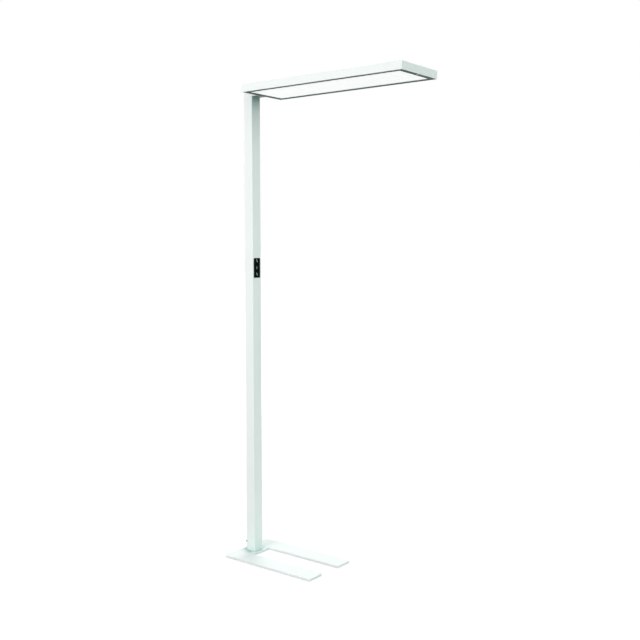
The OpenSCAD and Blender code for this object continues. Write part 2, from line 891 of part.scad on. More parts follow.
module rim() {
    room = bracket_half_w + bracket_room;
    color(DARK) at_head() difference() {
        union() {
            head_ring(rail_wall + slip / 2, rim_reach, 0, rim_t);
            head_ring(upstand_gap, upstand_gap + upstand_t, 0, upstand_h);
            head_ring(rail_wall + slip, upstand_gap + upstand_t / 2, snap_z, snap_z + snap_rib_h);
        }
        translate([0, -room, rim_t]) cube([tray_inset, 2 * room, head_t]);
        translate([head_l - sensor_in, 0, -cut]) cylinder(r = lens_r + slip, h = rim_t + 2 * cut);
    }
}

module diffuser() {
    color(OPAL) at_head() head_slab(diffuser_inset, diffuser_z0, diffuser_z1);
}

module gear_tray() {
    color(WHITE) at_head() difference() {
        union() {
            head_slab(tray_inset, tray_z0, tray_z1);
            head_ring(tray_wall_inset, tray_wall_inset + tray_t, diffuser_z1, tray_z0 + tray_t / 2);
        }
        for (p = rail_points(screw_line))
            translate([p[0], p[1], tray_z0 - cut]) cylinder(r = m3_r + screw_gap, h = tray_t + 2 * cut);
        for (x = bracket_screw_x, y = [-1, 1])
            translate([x, y * bracket_screw_y, tray_z0 - cut])
                cylinder(r = m4_r + thread_gap, h = tray_t + 2 * cut);
        for (x = driver_screw_x)
            translate([x, driver_y, tray_z0 - cut]) cylinder(r = m3_r + thread_gap, h = tray_t + 2 * cut);
        for (p = [sensor_wire, [down_wire_x, down_rows[0]]])
            translate([p[0], p[1], tray_z0 - cut])
                cylinder(r = thin_r + wire_hole_gap, h = tray_t + 2 * cut);
    }
}

module tray_screws() {
    color(STEEL) at_head() for (p = rail_points(screw_line))
        translate([p[0], p[1], tray_z0]) rotate([180, 0, 0])
            cap_screw(m3_r, tray_t + shelf_t + 0.8, m3_head_r, m3_head_h);
}

// ---- Head: light and gear ----

// A board along X with its LEDs on the side that up says, 1 for above and -1 for below
module led_board(l, up) {
    count = floor((l - led_pitch / 2) / led_pitch);
    first = (l - (count - 1) * led_pitch) / 2;
    translate([0, -board_w / 2, 0]) cube([l, board_w, board_t]);
    for (i = [0:count - 1])
        translate([first + i * led_pitch - led_size / 2, -led_size / 2, up > 0 ? board_t : -led_h])
            cube([led_size, led_size, led_h]);
}

module down_led_boards() {
    color(BOARD) at_head() for (y = down_rows)
        translate([down_start, y, tray_z0 - board_t]) led_board(down_l, -1);
}

module up_led_boards() {
    color(BOARD) at_head() for (y = up_rows)
        translate([up_start, y, tray_z1]) led_board(up_l, 1);
}

// The driver's section: its long upper edges are bevelled
module driver_section() {
    half = driver_w / 2;
    polygon([
        [-half, 0], [half, 0], [half, driver_h - driver_chamfer], [half - driver_chamfer, driver_h],
        [driver_chamfer - half, driver_h], [-half, driver_h - driver_chamfer]
    ]);
}

// What makes one end of the driver its terminals: a step, and a row of wells for the wires' clamps
module driver_end_cut() {
    step_z = driver_h - driver_end_drop;
    translate([-cut, -driver_w / 2 - cut, step_z]) cube([driver_end_l + cut, driver_w + 2 * cut, cut + driver_h]);
    for (i = [1:driver_ports])
        translate([driver_end_l / 2 - driver_port[0] / 2,
                   (i / (driver_ports + 1) - 0.5) * driver_w - driver_port[1] / 2,
                   step_z - driver_port[2]])
            cube([driver_port[0], driver_port[1], driver_h]);
}

module driver() {
    color(WHITE) at_head() difference() {
        union() {
            translate([0, driver_y, tray_z1]) across_x(driver_x, driver_end) driver_section();
            translate([driver_x - driver_ear, driver_y - driver_w / 2, tray_z1])
                cube([driver_l + 2 * driver_ear, driver_w, driver_ear_t]);
        }
        for (x = driver_screw_x)
            translate([x, driver_y, tray_z1 - cut])
                cylinder(r = m3_r + screw_gap, h = driver_ear_t + 2 * cut);
        translate([driver_x, driver_y, tray_z1]) driver_end_cut();
        translate([driver_end, driver_y, tray_z1]) mirror([1, 0, 0]) driver_end_cut();
    }
}

module driver_screws() {
    color(STEEL) at_head() for (x = driver_screw_x)
        translate([x, driver_y, tray_z1 + driver_ear_t])
            cap_screw(m3_r, driver_ear_t + tray_t, m3_head_r, m3_head_h);
}

// A three-pole block: its poles are parted by grooves, and a screw well sits over each
module terminal_block() {
    pole = block_size[1] / 3;
    color("#d9dcd8") at_head() translate([block_x, -block_size[1] / 2, tray_z1]) difference() {
        cube(block_size);
        for (i = [1, 2])
            translate([-cut, i * pole - 0.4, block_size[2] * 0.55])
                cube([block_size[0] + 2 * cut, 0.8, block_size[2]]);
        for (i = [0, 1, 2], x = [0.3, 0.7])
            translate([x * block_size[0], (i + 0.5) * pole, block_size[2] - 3]) cylinder(r = 2.4, h = 4);
    }
}

// ---- Head: top ----

module top_cover() {
    inset = rail_wall + slip;
    color(WHITE) at_head() difference() {
        head_slab(inset, cover_z0, head_t);
        translate([window_start, window_margin - head_w / 2, cover_z0 - cut])
            cube([head_l - window_start - window_margin, head_w - 2 * window_margin, cover_t + 2 * cut]);
        for (p = rail_points(screw_line))
            translate([p[0], p[1], head_t]) sunk_hole(m3_r, cover_t, m3_sunk_r, cover_t - 0.1);
    }
}

module cover_screws() {
    color(STEEL) at_head() for (p = rail_points(screw_line))
        translate([p[0], p[1], head_t]) sunk_screw(m3_r, cover_t + ledge_t + 0.8, m3_sunk_r, cover_t - 0.1);
}

module top_window() {
    seat = 6;
    color(OPAL) at_head()
        translate([window_start - seat, window_margin - seat - head_w / 2, cover_z0 - window_t])
            cube([head_l - window_start - window_margin + 2 * seat,
                  head_w - 2 * window_margin + 2 * seat, window_t]);
}

// ---- Sensor ----

module sensor_housing() {
    color(DARK) at_head() translate([head_l - sensor_in, 0, rim_t]) difference() {
        translate([-sensor_size[0] / 2, -sensor_size[1] / 2, 0]) cube(sensor_size);
        translate([0, 0, -cut]) cylinder(r = lens_flange_r + slip, h = lens_flange_t + slip + cut);
    }
}

module sensor_lens() {
    color(OPAL) at_head() translate([head_l - sensor_in, 0, 0]) {
        translate([0, 0, rim_t]) cylinder(r = lens_flange_r, h = lens_flange_t);
        cylinder(r = lens_r, h = rim_t + lens_flange_t / 2);
        // the low dome that looks down past the rim, with its ring grooves
        rotate([180, 0, 0]) rotate_extrude() difference() {
            intersection() {
                translate([0, lens_drop - lens_ball_r]) circle(lens_ball_r);
                square([lens_r, lens_drop]);
            }
            for (i = [1:lens_rings]) {
                r = lens_r * i / (lens_rings + 1);
                dome_z = lens_drop - lens_ball_r + sqrt(lens_ball_r * lens_ball_r - r * r);
                translate([r, dome_z - lens_groove]) square([lens_groove, lens_drop]);
            }
        }
    }
}

// ---- Wires ----

module mains_lead() {
    color("#e8e8e6") lead([
        [mains_start_x, 0, gland_z],
        [mains_run_x, 0, gland_z],
        [mains_run_x, 0, wire_z],
        [head_x + block_x, 0, wire_z]
    ], mains_r, mains_bend);
}

module keypad_lead() {
    color("#c9ccca") lead([
        [signal_start_x, signal_y, keypad_z + keypad_plug_z],
        [signal_run_x, signal_y, keypad_z + keypad_plug_z],
        [signal_run_x, signal_y, wire_z],
        [head_x + signal_turn_x, signal_y, wire_z],
        [head_x + signal_turn_x, driver_y, wire_z],
        [head_x + driver_x, driver_y, wire_z]
    ], signal_r, signal_bend);
}

module driver_lead() {
    x = block_x + block_size[0] / 2;
    z = wire_z - head_z;
    y = driver_y + driver_w / 4;
    color("#c9ccca") at_head()
        lead([[x, -block_size[1] / 2, z], [x, y, z], [driver_x, y, z]], signal_r, signal_bend);
}

// One wire goes down through the tray to the lower boards, the other lands on an upper board
module led_leads() {
    z = wire_z - head_z;
    up_y = up_rows[0] - board_w / 2 + 2;
    color("#c83a2e") at_head() {
        lead([[driver_end, driver_y, z], [down_wire_x, driver_y, z],
              [down_wire_x, down_rows[0], z], [down_wire_x, down_rows[0], tray_z0]],
             thin_r, thin_bend);
        lead([[driver_end, driver_y + 6, z], [up_wire_x, driver_y + 6, z],
              [up_wire_x, up_y, z], [up_wire_x, up_y, tray_z1 + board_t]],
             thin_r, thin_bend);
    }
}

module sensor_lead() {
    z = wire_z - head_z;
    y = driver_y - 6;
    x = sensor_wire[0] - 3 * thin_bend;
    color("#3b6fb5") at_head() lead([
        [driver_end, y, z],
        [x, y, z],
        [x, sensor_wire[1], z],
        [sensor_wire[0], sensor_wire[1], z],
        [sensor_wire[0], sensor_wire[1], rim_t + sensor_size[2]]
    ], thin_r, thin_bend);
}

base_plate();
floor_pad();
foot_screws();
column_profile();
column_cap();
cap_screws();
gland_body();
gland_nut();
gland_seal();
gland_lock_nut();
keypad_bezel();
key_brighter();
key_on_off();
key_dimmer();
key_mat();
keypad_board();
keypad_back();
keypad_screws();
neck_arm();
neck_plate();
neck_screws();
head_bracket();
head_screws();
bracket_screws();
rail_near();
rail_far();
rail_neck();
rail_tip();
corner_keys();
rim();
diffuser();
gear_tray();
tray_screws();
down_led_boards();
up_led_boards();
driver();
driver_screws();
terminal_block();
top_cover();
cover_screws();
top_window();
sensor_housing();
sensor_lens();
mains_lead();
keypad_lead();
driver_lead();
led_leads();
sensor_lead();
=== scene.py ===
# Office floor lamp: its looks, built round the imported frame. All lengths here are in metres.
import json
import math

import bmesh
import bpy
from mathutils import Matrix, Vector


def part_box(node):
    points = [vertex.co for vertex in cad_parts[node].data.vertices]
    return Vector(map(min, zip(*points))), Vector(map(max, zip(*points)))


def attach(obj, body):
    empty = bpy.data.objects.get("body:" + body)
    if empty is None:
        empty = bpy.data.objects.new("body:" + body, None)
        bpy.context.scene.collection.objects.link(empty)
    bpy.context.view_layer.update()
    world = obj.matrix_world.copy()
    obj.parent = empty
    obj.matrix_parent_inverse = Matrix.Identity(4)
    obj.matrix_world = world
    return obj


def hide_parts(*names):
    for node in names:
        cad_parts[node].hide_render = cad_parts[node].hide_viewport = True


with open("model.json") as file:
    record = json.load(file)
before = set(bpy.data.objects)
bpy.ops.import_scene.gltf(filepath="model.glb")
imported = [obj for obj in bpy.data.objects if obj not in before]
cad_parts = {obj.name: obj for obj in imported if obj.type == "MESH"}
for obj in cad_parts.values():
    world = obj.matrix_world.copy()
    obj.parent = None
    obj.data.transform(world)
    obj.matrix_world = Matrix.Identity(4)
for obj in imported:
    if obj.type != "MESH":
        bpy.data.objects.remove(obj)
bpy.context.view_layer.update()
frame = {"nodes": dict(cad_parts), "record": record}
NODES = frame["nodes"]
MM = 0.001


# ---- Camera: the photograph's place and angle ----

CAMERA_AT = (2.5128, -2.7747, 1.3047)
CAMERA_AZIMUTH = 37.86
CAMERA_DOWN = 4.692
CAMERA_LENS_MM = 50
SENSOR_MM = 36


def make_camera():
    data = bpy.data.cameras.new("camera")
    data.lens = CAMERA_LENS_MM
    data.sensor_width = SENSOR_MM
    camera = bpy.data.objects.new("camera", data)
    camera.location = CAMERA_AT
    camera.rotation_euler = (math.radians(90 - CAMERA_DOWN), 0, math.radians(CAMERA_AZIMUTH))
    bpy.context.scene.collection.objects.link(camera)
    bpy.context.scene.camera = camera


# ---- Materials ----

# Noise rarely leaves this range, so it is what colors and roughness are spread over
NOISE_LOW = 0.3
NOISE_HIGH = 0.7
# How open a corner is where its painted shade is full, and where that shade ends
CORNER_OPENNESS = 0.2
CLEAR_OPENNESS = 0.95
CORNER_SAMPLES = 12
# How far a surface leans towards the light from above when its openness is measured
TOWARD_LIGHT = (0, 0, 0.3)


class Shader:
    """A material's node tree, with a method for each thing that the finishes below share."""

    def __init__(self, name, color, roughness, metallic=0.0, specular=0.5):
        self.material = bpy.data.materials.new(name)
        self.material.use_nodes = True
        self.nodes = self.material.node_tree.nodes
        self.links = self.material.node_tree.links
        self.surface = self.nodes["Principled BSDF"]
        self.surface.inputs["Base Color"].default_value = (*color, 1)
        self.surface.inputs["Roughness"].default_value = roughness
        self.surface.inputs["Metallic"].default_value = metallic
        self.surface.inputs["Specular IOR Level"].default_value = specular
        self.place = self.nodes.new("ShaderNodeTexCoord").outputs["Object"]
        self.normal = None

    def stretched(self, scale):
        mapping = self.nodes.new("ShaderNodeMapping")
        mapping.inputs["Scale"].default_value = scale
        self.links.new(self.place, mapping.inputs["Vector"])
        return mapping.outputs["Vector"]

    def vector_math(self, operation, *values):
        """A vector sum, product or the like, of sockets and plain values."""
        node = self.nodes.new("ShaderNodeVectorMath")
        node.operation = operation
        for value, socket in zip(values, node.inputs):
            if isinstance(value, bpy.types.NodeSocket):
                self.links.new(value, socket)
            else:
                socket.default_value = value
        return node.outputs["Vector"]

    def noise(self, scale, detail=2.0, place=None):
        node = self.nodes.new("ShaderNodeTexNoise")
        node.inputs["Scale"].default_value = scale
        node.inputs["Detail"].default_value = detail
        self.links.new(place or self.place, node.inputs["Vector"])
        return node.outputs["Fac"]

    def cells(self, scale):
        node = self.nodes.new("ShaderNodeTexVoronoi")
        node.inputs["Scale"].default_value = scale
        self.links.new(self.place, node.inputs["Vector"])
        return node.outputs["Distance"]

    def bump(self, height, depth, strength=1.0):
        """Adds a relief of that depth on top of the relief so far."""
        node = self.nodes.new("ShaderNodeBump")
        node.inputs["Strength"].default_value = strength
        node.inputs["Distance"].default_value = depth
        self.links.new(height, node.inputs["Height"])
        if self.normal:
            self.links.new(self.normal, node.inputs["Normal"])
        self.normal = node.outputs["Normal"]
        self.links.new(self.normal, self.surface.inputs["Normal"])

    def vary_roughness(self, height, low, high):
        node = self.nodes.new("ShaderNodeMapRange")
        node.inputs["From Min"].default_value = NOISE_LOW
        node.inputs["From Max"].default_value = NOISE_HIGH
        node.inputs["To Min"].default_value = low
        node.inputs["To Max"].default_value = high
        self.links.new(height, node.inputs["Value"])
        self.links.new(node.outputs["Result"], self.surface.inputs["Roughness"])

    def vary_color(self, height, dark, light):
        node = self.nodes.new("ShaderNodeValToRGB")
        low, high = node.color_ramp.elements
        low.position, low.color = NOISE_LOW, (*dark, 1)
        high.position, high.color = NOISE_HIGH, (*light, 1)
        self.links.new(height, node.inputs["Fac"])
        self.color = node.outputs["Color"]
        self.links.new(self.color, self.surface.inputs["Base Color"])

    def paint_corner_shade(self, reach, dark, upper_side_only):
        """Painted shade: multiplies the color by up to dark where other surfaces stand within
        reach of it, above all where they stand over it, since most light comes from above."""
        facing = self.nodes.new("ShaderNodeNewGeometry").outputs["True Normal"]
        upward = self.vector_math("ADD", facing, TOWARD_LIGHT)
        upward = self.vector_math("NORMALIZE", upward)
        near = self.nodes.new("ShaderNodeAmbientOcclusion")
        near.samples = CORNER_SAMPLES
        near.inputs["Distance"].default_value = reach
        self.links.new(upward, near.inputs["Normal"])
        openness = near.outputs["AO"]
        if upper_side_only:
            split = self.nodes.new("ShaderNodeSeparateXYZ")
            self.links.new(facing, split.inputs[0])
            sideways = self.nodes.new("ShaderNodeMath")
            sideways.operation = "SUBTRACT"
            sideways.inputs[0].default_value = 1.0
            self.links.new(split.outputs["Z"], sideways.inputs[1])
            either = self.nodes.new("ShaderNodeMath")
            either.operation = "MAXIMUM"
            self.links.new(openness, either.inputs[0])
            self.links.new(sideways.outputs[0], either.inputs[1])
            openness = either.outputs[0]
        share = self.nodes.new("ShaderNodeMapRange")
        share.inputs["From Min"].default_value = CORNER_OPENNESS
        share.inputs["From Max"].default_value = CLEAR_OPENNESS
        self.links.new(openness, share.inputs["Value"])
        rise = [1 - channel for channel in dark]
        level = self.vector_math("MULTIPLY_ADD", share.outputs["Result"], rise, dark)
        self.color = self.vector_math("MULTIPLY", self.color, level)
        self.links.new(self.color, self.surface.inputs["Base Color"])


def shade(color, factor):
    return tuple(min(1.0, channel * factor) for channel in color)


def powder_coat(name, color, roughness, corners, upper_side_only=False):
    """Baked powder paint: soft orange peel about a millimetre across, with a fine grain on it.
    Corners holds the (reach, color) pairs of the painted shade that darkens it in corners."""
    paint = Shader(name, color, roughness, specular=0.25)
    peel = paint.noise(scale=850, detail=1)
    paint.bump(peel, depth=12e-6)
    paint.bump(paint.noise(scale=4200, detail=1), depth=2e-6)
    paint.vary_roughness(paint.noise(scale=60), roughness - 0.04, roughness + 0.05)
    paint.vary_color(paint.noise(scale=9, detail=4), shade(color, 0.988), shade(color, 1.008))
    for reach, dark in corners:
        paint.paint_corner_shade(reach, dark, upper_side_only)
    return paint.material


def zinc_steel(name, color):
    """Zinc-plated steel: a cloudy bright metal with short drawing marks."""
    metal = Shader(name, color, 0.32, metallic=1.0)
    metal.bump(metal.noise(scale=900, place=metal.stretched((1, 1, 0.08))), depth=4e-6)
    metal.vary_roughness(metal.noise(scale=260, detail=4), 0.24, 0.44)
    metal.vary_color(metal.noise(scale=140, detail=3), shade(color, 0.86), color)
    return metal.material


def moulded_plastic(name, color, roughness, grain, specular=0.45):
    """Moulded plastic with the fine spark-eroded grain of its tool."""
    plastic = Shader(name, color, roughness, specular=specular)
    plastic.bump(plastic.noise(scale=grain, detail=3), depth=10e-6)
    plastic.vary_roughness(plastic.noise(scale=180), roughness - 0.05, roughness + 0.06)
    plastic.vary_color(plastic.noise(scale=70, detail=3), shade(color, 0.9), shade(color, 1.1))
    return plastic.material


def opal_acrylic(name, color, glow):
    """Opal sheet: light scatters inside it, its skin is satin, and it glows evenly."""
    opal = Shader(name, color, 0.38, specular=0.45)
    opal.surface.inputs["Emission Color"].default_value = (*color, 1)
    opal.surface.inputs["Emission Strength"].default_value = glow
    opal.bump(opal.noise(scale=1600, detail=2), depth=5e-6)
    opal.vary_roughness(opal.noise(scale=40), 0.33, 0.44)
    opal.vary_color(opal.noise(scale=5, detail=2), shade(color, 0.99), color)
    return opal.material


def soft_rubber(name, color, cell):
    """Matte rubber or foam with open cells in its skin."""
    rubber = Shader(name, color, 0.85, specular=0.3)
    rubber.bump(rubber.cells(cell), depth=80e-6, strength=0.6)
    rubber.bump(rubber.noise(scale=3 * cell, detail=3), depth=15e-6)
    rubber.vary_roughness(rubber.noise(scale=120), 0.78, 0.92)
    rubber.vary_color(rubber.noise(scale=400, detail=3), shade(color, 0.8), shade(color, 1.15))
    return rubber.material


def wire_jacket(name, color):
    """A soft plastic jacket, slightly wavy over the strands below it."""
    jacket = Shader(name, color, 0.42)
    jacket.bump(jacket.noise(scale=500, detail=2), depth=20e-6)
    jacket.vary_roughness(jacket.noise(scale=90), 0.36, 0.5)
    jacket.vary_color(jacket.noise(scale=30, detail=2), shade(color, 0.93), shade(color, 1.03))
    return jacket.material


WHITE = (0.875, 0.905, 0.893)
KEY_GREY = (0.46, 0.54, 0.51)
# How far each kind of painted corner shade reaches, and the color by which it multiplies the paint
CLOSE_SHADE = (0.06, (0.3, 0.5, 0.46))
# painted shade on the base plate's upper side, round the column's foot
PLATE_SHADE = (0.05, (0.22, 0.4, 0.36))
COLUMN_SHADE = (0.06, (0.54, 0.72, 0.68))
# dark painted shade on the neck arm, where the column and head stand near it
NECK_SHADE = (0.2, (0.02, 0.14, 0.1))
RIM_SHADE = (0.01, (0.8, 0.8, 0.8))
# wide greenish painted shade, below the head and near the column's foot
FAR_SHADE = (0.24, (0.63, 0.79, 0.76))
# How strongly the opal pieces glow; the sensor lens is no lamp, so its glow is painted light
OPAL_GLOW = 0.63
TOP_GLOW = 0.02
LENS_PAINTED_GLOW = 0.25
# One finish for each material slot of the record
MATERIALS = {
    "white_steel": powder_coat(
        "white_steel", WHITE, 0.55, [PLATE_SHADE, FAR_SHADE], upper_side_only=True
    ),
    "white_aluminium": powder_coat("white_aluminium", WHITE, 0.55, [CLOSE_SHADE]),
    # The rim's dark green-grey is painted shade: it draws the frame round the diffuser as dark as
    # it lies in shade under the head
    "rim_grey": powder_coat("rim_grey", (0.112, 0.17, 0.15), 0.6, [RIM_SHADE]),
    "steel": zinc_steel("steel", (0.5, 0.52, 0.54)),
    "opal": opal_acrylic("opal", (0.93, 0.95, 0.94), OPAL_GLOW),
    "gland_grey": moulded_plastic("gland_grey", (0.07, 0.085, 0.082), 0.5, 2200),
    "keypad_black": moulded_plastic(
        "keypad_black", (0.0015, 0.0025, 0.0023), 0.5, 2600, specular=0.01
    ),
    "key_black": moulded_plastic("key_black", (0.002, 0.0038, 0.0035), 0.5, 3400, specular=0.02),
    "soft_grey": soft_rubber("soft_grey", (0.12, 0.135, 0.132), 900),
    "soft_black": soft_rubber("soft_black", (0.012, 0.014, 0.014), 1800),
    "green_board": moulded_plastic("green_board", (0.012, 0.11, 0.045), 0.35, 1500),
    "white_board": moulded_plastic("white_board", (0.8, 0.82, 0.8), 0.4, 1500),
    "driver_case": moulded_plastic("driver_case", (0.78, 0.8, 0.78), 0.5, 1800),
    "pale_plastic": moulded_plastic("pale_plastic", (0.68, 0.7, 0.67), 0.5, 1800),
    "wire_grey": wire_jacket("wire_grey", (0.55, 0.57, 0.56)),
    "wire_red": wire_jacket("wire_red", (0.5, 0.03, 0.02)),
    "wire_blue": wire_jacket("wire_blue", (0.03, 0.14, 0.45)),
}
# Finishes of single pieces, whose light or use differs from that of their slot
# Copies of the white paint with painted shade of their own, for the column and the neck arm
COLUMN_SHADED_WHITE = powder_coat("column_shaded_white", WHITE, 0.55, [COLUMN_SHADE, FAR_SHADE])
NECK_SHADED_WHITE = powder_coat("neck_shaded_white", WHITE, 0.55, [NECK_SHADE])
TOP_OPAL = opal_acrylic("top_opal", (0.79, 0.82, 0.815), TOP_GLOW)
# The sensor lens: its glow is painted light that keeps it pale in the shade under the head
LENS = opal_acrylic("lens", (0.9, 0.93, 0.92), LENS_PAINTED_GLOW)
PRINT_GREY = moulded_plastic("print_grey", KEY_GREY, 0.6, 3000, specular=0.1)
PIECE_FINISHES = {
    "column_profile": COLUMN_SHADED_WHITE,
    "neck_arm": NECK_SHADED_WHITE,
    "top_window": TOP_OPAL,
}


# ---- CAD nodes: finish, and the small radii of their edges ----

# How far each visible node's edges are rounded
EDGE_RADII = {
    "base_plate": 0.7 * MM,
    "floor_pad": 0.4 * MM,
    "column_profile": 0.3 * MM,
    "column_cap": 0.3 * MM,
    "cap_screws": 0.08 * MM,
    "foot_screws": 0.08 * MM,
    "gland_body": 0.3 * MM,
    "gland_nut": 0.35 * MM,
    "gland_seal": 0.2 * MM,
    "gland_lock_nut": 0.2 * MM,
    "keypad_bezel": 0.35 * MM,
    "neck_arm": 0.35 * MM,
    "rail_near": 0.35 * MM,
    "rail_far": 0.35 * MM,
    "rail_neck": 0.35 * MM,
    "rail_tip": 0.35 * MM,
    "rim": 0.25 * MM,
    "diffuser": 0.4 * MM,
    "top_cover": 0.3 * MM,
    "cover_screws": 0.08 * MM,
    "top_window": 0.3 * MM,
}
SAME_POINT = 1e-6
FLAT_ANGLE = math.radians(1)
EDGE_ANGLE = math.radians(35)
EDGE_SEGMENTS = 3


def round_edges(node, radius):
    """Rounds a node's edges with modifiers alone, so that its own mesh stays as it is."""
    piece = NODES[node]
    weld = piece.modifiers.new("weld", "WELD")
    weld.merge_threshold = SAME_POINT
    flat = piece.modifiers.new("flat", "DECIMATE")
    flat.decimate_type = "DISSOLVE"
    flat.angle_limit = FLAT_ANGLE
    bevel = piece.modifiers.new("bevel", "BEVEL")
    bevel.width = radius
    bevel.segments = EDGE_SEGMENTS
    bevel.limit_method = "ANGLE"
    bevel.angle_limit = EDGE_ANGLE
    normals = piece.modifiers.new("normals", "WEIGHTED_NORMAL")
    normals.weight = 100  # the flat faces keep their normals in full


def dress_nodes():
    for part in frame["record"]["subparts"]:
        piece = NODES[part["node"]]
        finish = MATERIALS[part["material_slot"]]
        if piece.material_slots:
            for place in piece.material_slots:
                place.material = finish
        else:
            piece.data.materials.append(finish)
    for node, finish in PIECE_FINISHES.items():
        NODES[node].material_slots[0].material = finish
    for node, radius in EDGE_RADII.items():
        round_edges(node, radius)


# ---- Keys: dished caps with a printed mark ----

DISH_DEPTH = 0.25 * MM
DISH_MARGIN = 1.0 * MM
CAP_EDGE_R = 0.45 * MM
CAP_CORNER_R = 1.3 * MM
LIP_W = 0.8 * MM
LIP_T = 1.3 * MM
LIP_SET_BACK = 1.9 * MM
LIP_CORNER_R = 1.0 * MM
PLUNGER_R = 2.4 * MM
MARK_T = 0.09 * MM
MARK_EDGE = 0.6  # the share of a mark's height at which its edge starts to slope in
MARK_TOP = 0.96  # how much smaller its top is
CORNER_STEPS = 8
SIDE_STEPS = 10
EDGE_STEPS = 4
DISH_RINGS = 16
STROKE_STEPS = 10
CREASE_ANGLE = 40


def rounded_outline(half_w, half_h, radius):
    """Points of a rectangle with rounded corners, counter-clockwise from its first corner's arc.
    Its straight sides have points too, so that they can follow a curved face."""
    radius = min(radius, half_w, half_h)
    points = []
    for turn, (sy, sz) in enumerate(((1, 1), (-1, 1), (-1, -1), (1, -1))):
        for i in range(CORNER_STEPS + 1):
            angle = math.radians(90 * (turn + i / CORNER_STEPS))
            y = sy * (half_w - radius) + radius * math.cos(angle)
            z = sz * (half_h - radius) + radius * math.sin(angle)
            points.append((y, z))
        side_y, side_z = [(-1, 0), (0, -1), (1, 0), (0, 1)][turn]
        for i in range(1, SIDE_STEPS):
            share = 2 * i / SIDE_STEPS
            along_y = side_y * share * (half_w - radius)
            along_z = side_z * share * (half_h - radius)
            points.append((y + along_y, z + along_z))
    return points


def mesh_piece(name, bm, material, body):
    """Makes a piece of a finished bmesh, with its finish and the body it rides on."""
    bmesh.ops.remove_doubles(bm, verts=bm.verts, dist=SAME_POINT)
    bmesh.ops.recalc_face_normals(bm, faces=bm.faces)
    mesh = bpy.data.meshes.new(name)
    bm.to_mesh(mesh)
    bm.free()
    for polygon in mesh.polygons:
        polygon.use_smooth = True
    mesh.materials.append(material)
    piece = bpy.data.objects.new(name, mesh)
    bpy.context.scene.collection.objects.link(piece)
    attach(piece, body)
    return piece


def join_rings(bm, rings):
    """Skins a row of rings that have as many points each, and closes both ends."""
    loops = [[bm.verts.new(point) for point in ring] for ring in rings]
    for near, far in zip(loops, loops[1:]):
        for i in range(len(near)):
            j = (i + 1) % len(near)
            bm.faces.new((near[i], near[j], far[j], far[i]))
    bm.faces.new(loops[0])
    bm.faces.new(loops[-1])


def dish(y, z, half_w):
    """How deep the fingertip's dish is at a point of a key's face."""
    edge_r = half_w - DISH_MARGIN
    return DISH_DEPTH * max(0, 1 - (y * y + z * z) / (edge_r * edge_r))


def key_rings(front, half_w, half_h, rear):
    """A key's outlines from the middle of its dish, over its edge and lip, to its plunger."""
    rings = []

    def ring(x, w, h, r, dished=False):
        depth = dish if dished else lambda *place: 0
        rings.append([(x - depth(y, z, half_w), y, z) for y, z in rounded_outline(w, h, r)])

    flat_w, flat_h = half_w - CAP_EDGE_R, half_h - CAP_EDGE_R
    for i in range(1, DISH_RINGS + 1):
        share = i / DISH_RINGS
        ring(front, flat_w * share, flat_h * share, CAP_CORNER_R * share, dished=True)
    for i in range(1, EDGE_STEPS + 1):
        angle = math.radians(90 * i / EDGE_STEPS)
        grow = CAP_EDGE_R * (math.sin(angle) - 1)
        x = front - CAP_EDGE_R * (1 - math.cos(angle))
        ring(x, half_w + grow, half_h + grow, CAP_CORNER_R, dished=True)
    lip_front = front - LIP_SET_BACK
    ring(lip_front, half_w, half_h, CAP_CORNER_R)
    ring(lip_front, half_w + LIP_W, half_h + LIP_W, LIP_CORNER_R)
    ring(lip_front - LIP_T, half_w + LIP_W, half_h + LIP_W, LIP_CORNER_R)
    ring(lip_front - LIP_T, PLUNGER_R, PLUNGER_R, PLUNGER_R)
    ring(rear, PLUNGER_R, PLUNGER_R, PLUNGER_R)
    return rings


def capsule(start, end, width):
    """The outline of a stroke with round ends between two points."""
    (y0, z0), (y1, z1) = start, end
    along = math.atan2(z1 - z0, y1 - y0)
    points = []
    for (y, z), turn in (((y1, z1), -90), ((y0, z0), 90)):
        for i in range(STROKE_STEPS + 1):
            angle = along + math.radians(turn + 180 * i / STROKE_STEPS)
            points.append((y + width / 2 * math.cos(angle), z + width / 2 * math.sin(angle)))
    return points


def printed_mark(bm, outline, centre_z, front, half_w):
    """A raised flat print that follows the dish below it."""
    mid_y = sum(y for y, z in outline) / len(outline)
    mid_z = sum(z for y, z in outline) / len(outline)

    def ring(height, size):
        shown = [(mid_y + (y - mid_y) * size, mid_z + (z - mid_z) * size) for y, z in outline]
        return [(front - dish(y, z, half_w) + height, y, centre_z + z) for y, z in shown]

    join_rings(bm, [ring(-MARK_T, 1.0), ring(MARK_T * MARK_EDGE, 1.0), ring(MARK_T, MARK_TOP)])


# Each key's strokes: where they start and end beside and above the key's middle
STROKE_W = 2.8 * MM
KEY_MARKS = {
    "key_brighter": [((-3.0 * MM, 9.0 * MM), (2.4 * MM, -0.4 * MM))],
    "key_on_off": [
        ((-1.6 * MM, 3.8 * MM), (-1.6 * MM, 5.8 * MM)),
        ((-1.4 * MM, -3.6 * MM), (-1.4 * MM, 0.2 * MM)),
    ],
    "key_dimmer": [((-3.4 * MM, 4.0 * MM), (2.4 * MM, -5.2 * MM))],
}


def sharpen(piece, angle=CREASE_ANGLE):
    """Shades a piece smooth, but for its edges past that angle in degrees."""
    piece.data.set_sharp_from_angle(angle=math.radians(angle))


